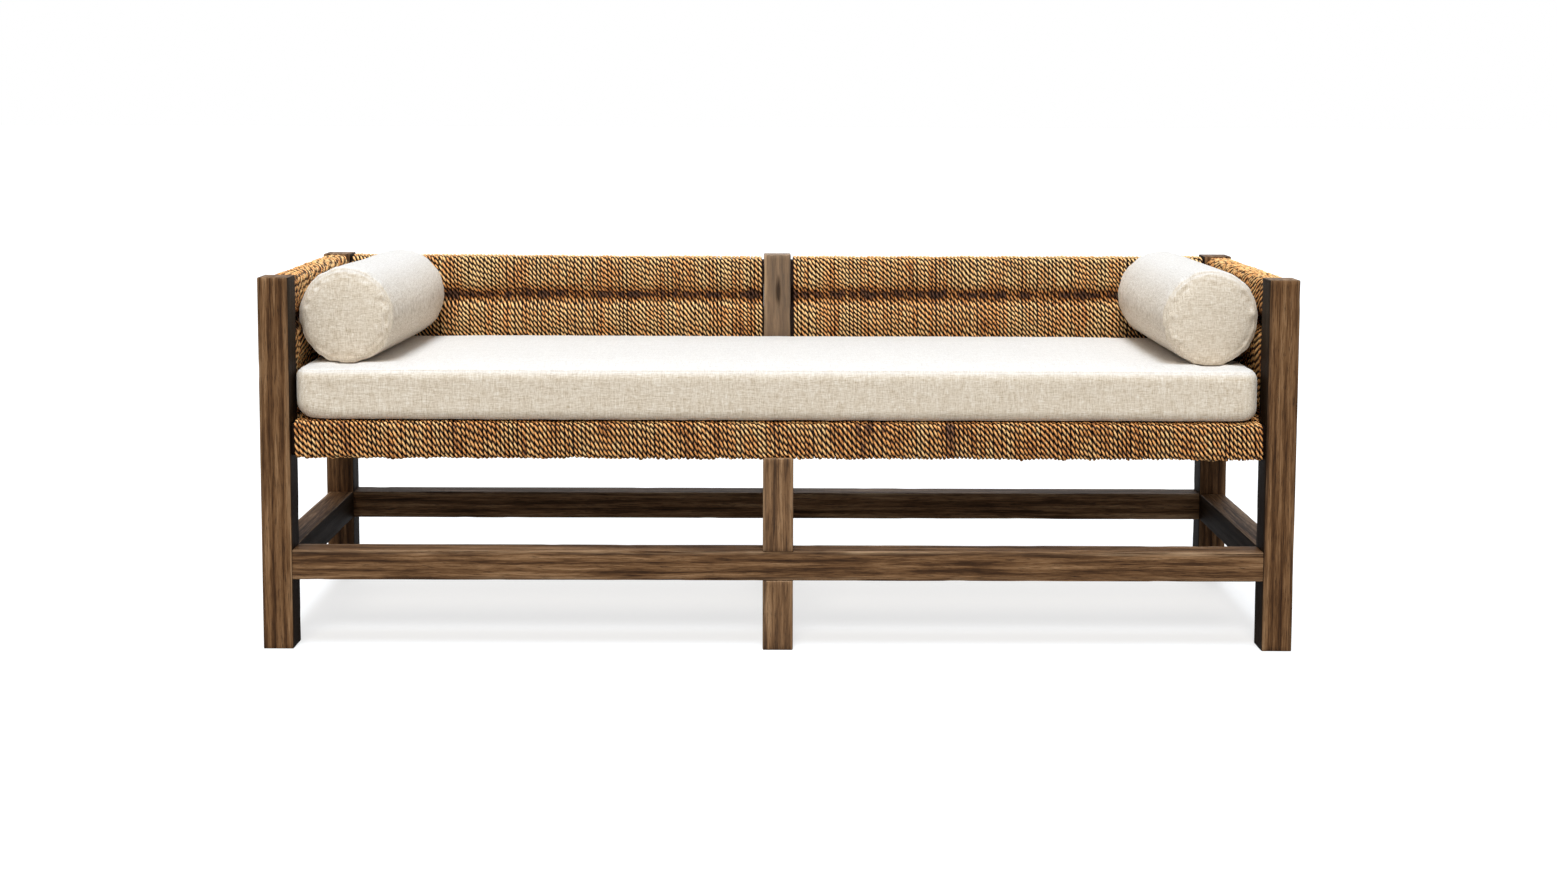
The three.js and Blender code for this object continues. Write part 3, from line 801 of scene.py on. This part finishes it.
def graded(half, coarse):
    """Grid lines from -half to half, close together at both ends."""
    near = [step for step in NEAR_SEAM if step < half * 0.7]
    middle = half - near[-1]
    count = max(2, round(2 * middle / coarse))
    inner = np.linspace(-middle, middle, count + 1)
    ends = half - np.array(near[:-1])
    return np.concatenate([-ends, inner, ends[::-1]])


def box_grid(xs, ys, zs):
    """The points and quads of a closed box surface whose faces carry the given grid lines."""
    index = {}
    points = []

    def point(i, j, k):
        key = (i, j, k)
        if key not in index:
            index[key] = len(points)
            points.append((xs[i], ys[j], zs[k]))
        return index[key]

    faces = []
    last = (len(xs) - 1, len(ys) - 1, len(zs) - 1)
    for a, b, c, low_order in ((0, 1, 2, -1), (0, 2, 1, 1), (1, 2, 0, -1)):
        for row, column in np.ndindex(last[a], last[b]):
            for side, order in ((0, low_order), (last[c], -low_order)):
                quad = []
                for step_a, step_b in ((0, 0), (1, 0), (1, 1), (0, 1)):
                    key = [0, 0, 0]
                    key[a], key[b], key[c] = row + step_a, column + step_b, side
                    quad.append(point(*key))
                faces.append(quad[::order])
    return np.array(points), np.array(faces)


def soften_box(points, half):
    """Rounds a box's upright corners and then its top and bottom edges. Returns the new points and
    how far each one is from a seam."""
    corner = CUSHION_CORNER
    at_end = smooth((np.abs(points[:, 0]) - half[0]) / 0.07 + 1)
    end_foot = np.where(points[:, 0] < 0, CUSHION_FOOT["left"], CUSHION_FOOT["right"])
    foot = CUSHION_FOOT["middle"] + (end_foot - CUSHION_FOOT["middle"]) * at_end
    edge = np.where(points[:, 2] > 0, CUSHION_EDGE, foot)
    core = np.clip(points[:, :2], corner - half[:2], half[:2] - corner)
    out = points[:, :2] - core
    reach = np.abs(out).max(1)
    direction = out / np.maximum(np.linalg.norm(out, axis=1), 1e-9)[:, None]
    flat = core + direction * reach[:, None]
    outward = np.maximum(0, reach - (corner - edge))
    upward = np.maximum(0, np.abs(points[:, 2]) - (half[2] - edge))
    both = np.maximum(np.hypot(outward, upward), 1e-9)
    most = np.maximum(outward, upward)
    rounded = (outward > 0) & (upward > 0)
    new_out = np.where(rounded, outward / both * most, outward)
    new_up = np.where(rounded, upward / both * most, upward)
    softened = np.empty_like(points)
    softened[:, :2] = flat + direction * (new_out - outward)[:, None]
    softened[:, 2] = points[:, 2] + np.sign(points[:, 2]) * (new_up - upward)
    return softened, np.hypot(edge - outward, edge - upward)


def read_points(mesh):
    """A mesh's points and the outward direction at each."""
    points = np.empty(len(mesh.vertices) * 3, np.float32)
    mesh.vertices.foreach_get("co", points)
    normals = np.empty(len(mesh.vertices) * 3, np.float32)
    mesh.vertex_normals.foreach_get("vector", normals)
    return points.reshape(-1, 3), normals.reshape(-1, 3)


def write_points(mesh, points):
    mesh.vertices.foreach_set("co", np.asarray(points, np.float32).ravel())
    mesh.update()


def fill_by_cloth(piece, pressure, most):
    """Fills a closed cover by cloth simulation. No point moves out by more than most, or in."""
    before, normals = read_points(piece.data)
    cloth = piece.modifiers.new("fill", "CLOTH")
    settings = cloth.settings
    settings.quality = 4
    settings.mass = 0.3
    settings.tension_stiffness = 12
    settings.compression_stiffness = 6
    settings.bending_stiffness = 0.6
    settings.use_pressure = True
    settings.uniform_pressure_force = pressure
    settings.effector_weights.gravity = 0
    cloth.point_cache.frame_start = 1
    cloth.point_cache.frame_end = CLOTH_FRAMES
    scene = bpy.context.scene
    for number in range(1, CLOTH_FRAMES + 1):
        scene.frame_set(number)
    filled = piece.evaluated_get(bpy.context.evaluated_depsgraph_get())
    moved = read_points(filled.data)[0] - before
    piece.modifiers.remove(cloth)
    scene.frame_set(1)
    length = np.maximum(np.linalg.norm(moved, axis=1), 1e-9)
    moved *= (np.tanh(length / most) * most / length)[:, None]
    inward = np.minimum(0, np.sum(moved * normals, 1))
    write_points(piece.data, before + moved - normals * inward[:, None])


def subdivide(piece):
    """One level of subdivision, applied to the mesh."""
    smoother = piece.modifiers.new("smooth", "SUBSURF")
    smoother.levels = smoother.render_levels = 1
    graph = bpy.context.evaluated_depsgraph_get()
    mesh = bpy.data.meshes.new_from_object(
        piece.evaluated_get(graph), preserve_all_data_layers=True, depsgraph=graph)
    piece.modifiers.remove(smoother)
    old = piece.data
    piece.data = mesh
    bpy.data.meshes.remove(old)


def sew(piece, depth, pucker, seed):
    """Draws the seams in and puckers the cloth beside them."""
    mesh = piece.data
    points, normals = read_points(mesh)
    near = np.empty(len(points), np.float32)
    mesh.attributes["from_seam"].data.foreach_get("value", near)
    groove = np.exp(-(near / 0.0024) ** 2)
    band = np.exp(-((near - 0.008) / 0.008) ** 2)
    gather = noise(points, 62, seed) + 0.5 * noise(points, 120, seed + 1)
    moved = points + normals * (pucker * band * gather - depth * groove)[:, None]
    seam = mesh.attributes.new("seam", "FLOAT", "POINT")
    seam.data.foreach_set("value", groove)
    write_points(mesh, moved)


def soft_floor(height, lowest, give=0.0012):
    """height, kept above lowest with a soft bend where they meet."""
    return lowest + give * np.logaddexp(0, (height - lowest) / give)


def bolster_line(side, y):
    """The X of a bolster's middle line at y."""
    front_x, rear_x = BOLSTER_TILT[side]
    rear_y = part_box(f"bolster_{side}_cover")[1][1]
    return rear_x + (front_x - rear_x) * (rear_y - y) / BOLSTER_LENGTH


def settle_under_bolsters(points):
    """Holds the seat cushion's top just below both bolsters."""
    for side in BOLSTER_TILT:
        low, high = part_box(f"bolster_{side}_cover")
        radius = (high[2] - low[2]) / 2
        across = np.abs(points[:, 0] - bolster_line(side, points[:, 1])) / radius
        round_height = (low[2] + high[2]) / 2 - radius * np.sqrt(1 - np.clip(across, 0, 0.99) ** 2)
        limit = np.maximum(CUSHION_UNDER_BOLSTER, round_height - 0.0008)
        points[:, 2] = np.minimum(points[:, 2], limit)


def make_seat_cushion(material):
    low, high = box_of("seat_cushion_cover")
    middle, half = (low + high) / 2, (high - low) / 2 - CUSHION_SHRINK
    points, faces = box_grid(graded(half[0], 0.012), graded(half[1], 0.012), graded(half[2], 0.012))
    points, from_seam = soften_box(points, half)
    along = 1 - smooth((np.abs(points[:, 0]) - 0.58) / 0.16)
    across = 1 - np.clip(np.abs(points[:, 1]) / half[1], 0, 1) ** 4
    top = smooth((points[:, 2] / half[2] - 0.6) / 0.4)
    points[:, 2] += top * (CUSHION_SHRINK + along * across * CUSHION_CROWN)
    points[:, 2] += top * 0.0012 * noise(points, (3.5, 6, 1), 71)
    points[:, 1] += 0.0012 * noise(points, (5, 1, 9), 73)
    piece = make_mesh("seat_cushion", points + middle, [faces], {"from_seam": from_seam})
    fill_by_cloth(piece, pressure=3.0, most=0.0035)
    subdivide(piece)
    sew(piece, 0.0007, 0.0006, 74)
    settled = read_points(piece.data)[0]
    settled[:, 2] = soft_floor(settled[:, 2], low[2] + 0.0002, 0.0004)
    settled[:, 1] = np.minimum(settled[:, 1], high[1] + 0.001)
    settle_under_bolsters(settled)
    write_points(piece.data, settled)
    stand_for(piece, "seat_cushion", "linen", material, "seat_cushion_cover", "seat_cushion_foam")
    return piece


def bolster_profile(radius, half):
    """From the middle of the front disc, round its seam, along the body and back: (radius, y). Its
    seam lies on the third point of the bend between disc and body."""
    edge = BOLSTER_EDGE
    disc = [(radius * share, -half) for share in (0.02, 0.12, 0.24, 0.36, 0.48, 0.60, 0.70, 0.78)]
    disc += [(radius - edge - step, -half) for step in (0.008, 0.005, 0.0025)]
    bend = [(radius - edge + edge * math.sin(turn), -half + edge - edge * math.cos(turn))
            for turn in np.radians((0, 20, 38, 52, 70, 90))]
    body = [(radius, y) for y in graded(half - edge, 0.009)[1:-1]]
    front = disc + bend
    return np.array(front + body + [(r, -y) for r, y in front[::-1]]), bend[2]


def bolster_grid(radius, half):
    """A cylinder along Y: two end discs and a body, in rings close together by the seams."""
    around = BOLSTER_SIDES
    profile, (seam_radius, seam_y) = bolster_profile(radius, half)
    angle = np.arange(around) / around * 2 * math.pi
    points = np.stack([
        profile[:, :1] * np.cos(angle),
        np.broadcast_to(profile[:, 1:], (len(profile), around)),
        profile[:, :1] * np.sin(angle),
    ], -1).reshape(-1, 3)
    faces = [rows[:, ::-1] for rows in tube_faces(len(profile), around)]
    out = np.hypot(points[:, 0], points[:, 2])
    from_seam = np.hypot(out - seam_radius, np.abs(points[:, 1]) - abs(seam_y))
    return points, faces, from_seam


def make_bolster(side, seed, material):
    node = f"bolster_{side}_cover"
    low, high = box_of(node)
    radius = (high[2] - low[2]) / 2
    half = BOLSTER_LENGTH / 2
    front_x, rear_x = BOLSTER_TILT[side]
    middle = np.array([(front_x + rear_x) / 2, high[1] - half, (low[2] + high[2]) / 2])
    points, faces, from_seam = bolster_grid(radius - CUSHION_SHRINK, half - CUSHION_SHRINK)
    out = np.hypot(points[:, 0], points[:, 2]) / radius
    end = np.abs(points[:, 1]) / half
    domed = 0.007 * (1 - np.clip(out, 0, 1) ** 2) * smooth(end * 20 - 18.5)
    points[:, 1] += np.sign(points[:, 1]) * domed
    body = smooth(out * 4 - 2.8) * (1 - 0.7 * np.clip(end, 0, 1) ** 6)
    swell = 0.0015 * body + 0.0016 * noise(points, (9, 7, 9), seed)
    points[:, [0, 2]] *= (1 + swell / radius)[:, None]
    turn = Matrix.Rotation(-math.atan2(rear_x - front_x, BOLSTER_LENGTH), 3, "Z")
    placed = points @ np.array(turn).T + middle
    piece = make_mesh(f"bolster_{side}", placed, faces, {"from_seam": from_seam})
    fill_by_cloth(piece, pressure=4.0, most=0.003)
    subdivide(piece)
    sew(piece, 0.0015, 0.0022, seed + 3)
    settled = read_points(piece.data)[0]
    settled[:, 2] = soft_floor(settled[:, 2], BOLSTER_REST)
    settled[:, 1] = -soft_floor(-settled[:, 1], -BOLSTER_REAR)
    write_points(piece.data, settled)
    stand_for(piece, "bolster_" + side, "linen", material, node, f"bolster_{side}_insert")
    return piece


def lay_zip(cover, body, node, start, end, inward, material):
    """A zip pressed onto a cover's surface: flat tape with a ribbed row of teeth down its middle."""
    start, end, inward = Vector(start), Vector(end), Vector(inward).normalized()
    surface = BVHTree.FromObject(cover, bpy.context.evaluated_depsgraph_get())
    along = (end - start).normalized()
    across = along.cross(inward)
    count = round((end - start).length / ZIP_TOOTH)
    points = []
    for station in range(count + 1):
        middle = start + (end - start) * station / count
        for share, height in ZIP_SECTION:
            above = middle + across * share * ZIP_WIDTH - inward * ZIP_START
            touched = surface.ray_cast(above, inward)[0]
            if height > ZIP_RIB and station % 2:
                height -= ZIP_RIB
            points.append(touched - inward * height)
    faces = tube_faces(count + 1, len(ZIP_SECTION))
    piece = make_mesh("sewn_" + node, np.array(points), faces)
    return stand_for(piece, body, "zip_tape", material, node)


def make_cushions():
    linen = linen_material("linen")
    tape = tape_material()
    seat = make_seat_cushion(linen)
    low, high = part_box("seat_cushion_zip")
    height = (low[2] + high[2]) / 2
    lay_zip(seat, "seat_cushion", "seat_cushion_zip", (low[0], high[1], height),
            (high[0], high[1], height), (0, -1, 0), tape)
    for side, seed, sign in (("left", 300, -1), ("right", 340, 1)):
        bolster = make_bolster(side, seed, linen)
        node = f"bolster_{side}_zip"
        low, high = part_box(node)
        height = (low[2] + high[2]) / 2
        ends = [(bolster_line(side, y) + sign * 0.1, y, height) for y in (low[1], high[1])]
        lay_zip(bolster, "bolster_" + side, node, *ends, (-sign, 0, 0), tape)


# ---------- CAD nodes that stay ----------


def dress_rails():
    """Gives plain wood to the rails inside the winding, which keep their CAD shapes."""
    material = plain_wood_material()
    for part in frame["record"]["subparts"]:
        if part["material_slot"] == "plain_hardwood":
            worn = frame["nodes"][part["node"]].data.materials
            worn.clear()
            worn.append(material)


# ---------- floor, lights and camera ----------


def make_floor():
    corners = FLOOR_HALF * np.array([(-1, -1, 0), (1, -1, 0), (1, 1, 0), (-1, 1, 0)])
    floor = make_mesh("floor", corners, [np.array([[0, 1, 2, 3]])])
    n = Nodes("pale_floor")
    n.shader.inputs["Emission Color"].default_value = (1, 1, 1, 1)
    seen = n.node("ShaderNodeLightPath").outputs["Is Camera Ray"]
    n.feed(n.shader.inputs["Emission Strength"], n.maths("MULTIPLY", seen, FLOOR_GLOW))
    floor.data.materials.append(n.finish((0.34, 0.34, 0.34, 1), 0.9))


def add_sun(name, azimuth, elevation, strength, softness, colour):
    """A distant soft light. azimuth 0 shines from the front (-Y), and 90 from +X."""
    lamp = bpy.data.lights.new(name, "SUN")
    lamp.energy = strength
    lamp.color = colour
    lamp.angle = math.radians(softness)
    light = bpy.data.objects.new(name, lamp)
    light.rotation_euler = (math.radians(90 - elevation), 0, math.radians(azimuth))
    bpy.context.scene.collection.objects.link(light)


def make_lights():
    world = bpy.data.worlds.new("studio")
    world.use_nodes = True
    tree = world.node_tree
    background = tree.nodes["Background"]
    background.inputs["Color"].default_value = (1, 1, 1, 1)
    seen = tree.nodes.new("ShaderNodeLightPath").outputs["Is Camera Ray"]
    strength = tree.nodes.new("ShaderNodeMapRange")
    strength.inputs["To Min"].default_value = FILL_LIGHT
    strength.inputs["To Max"].default_value = 1.0
    tree.links.new(seen, strength.inputs["Value"])
    tree.links.new(strength.outputs["Result"], background.inputs["Strength"])
    bpy.context.scene.world = world
    add_sun("front", azimuth=-6, elevation=38, strength=1.35, softness=20, colour=(1, 0.92, 0.80))
    add_sun("above", azimuth=-4, elevation=73, strength=3.0, softness=24, colour=(0.86, 0.97, 1.09))
    add_sun("rear", azimuth=176, elevation=35, strength=0.9, softness=50, colour=(1, 1, 1))


def make_camera():
    camera = bpy.data.cameras.new("camera")
    camera.lens = CAMERA_LENS
    camera.shift_x, camera.shift_y = CAMERA_SHIFT
    view = bpy.data.objects.new("camera", camera)
    turn = Matrix.Rotation(math.radians(CAMERA_YAW), 4, "Z")
    turn = turn @ Matrix.Rotation(math.radians(90 - CAMERA_PITCH), 4, "X")
    turn = turn @ Matrix.Rotation(math.radians(CAMERA_ROLL), 4, "Z")
    view.matrix_world = Matrix.Translation(CAMERA_PLACE) @ turn
    bpy.context.scene.collection.objects.link(view)
    bpy.context.scene.camera = view
    bpy.context.scene.view_settings.view_transform = "Standard"


make_camera()
make_lights()
make_floor()
make_bars()
make_middle_uprights()
make_ropes()
make_cushions()
dress_rails()
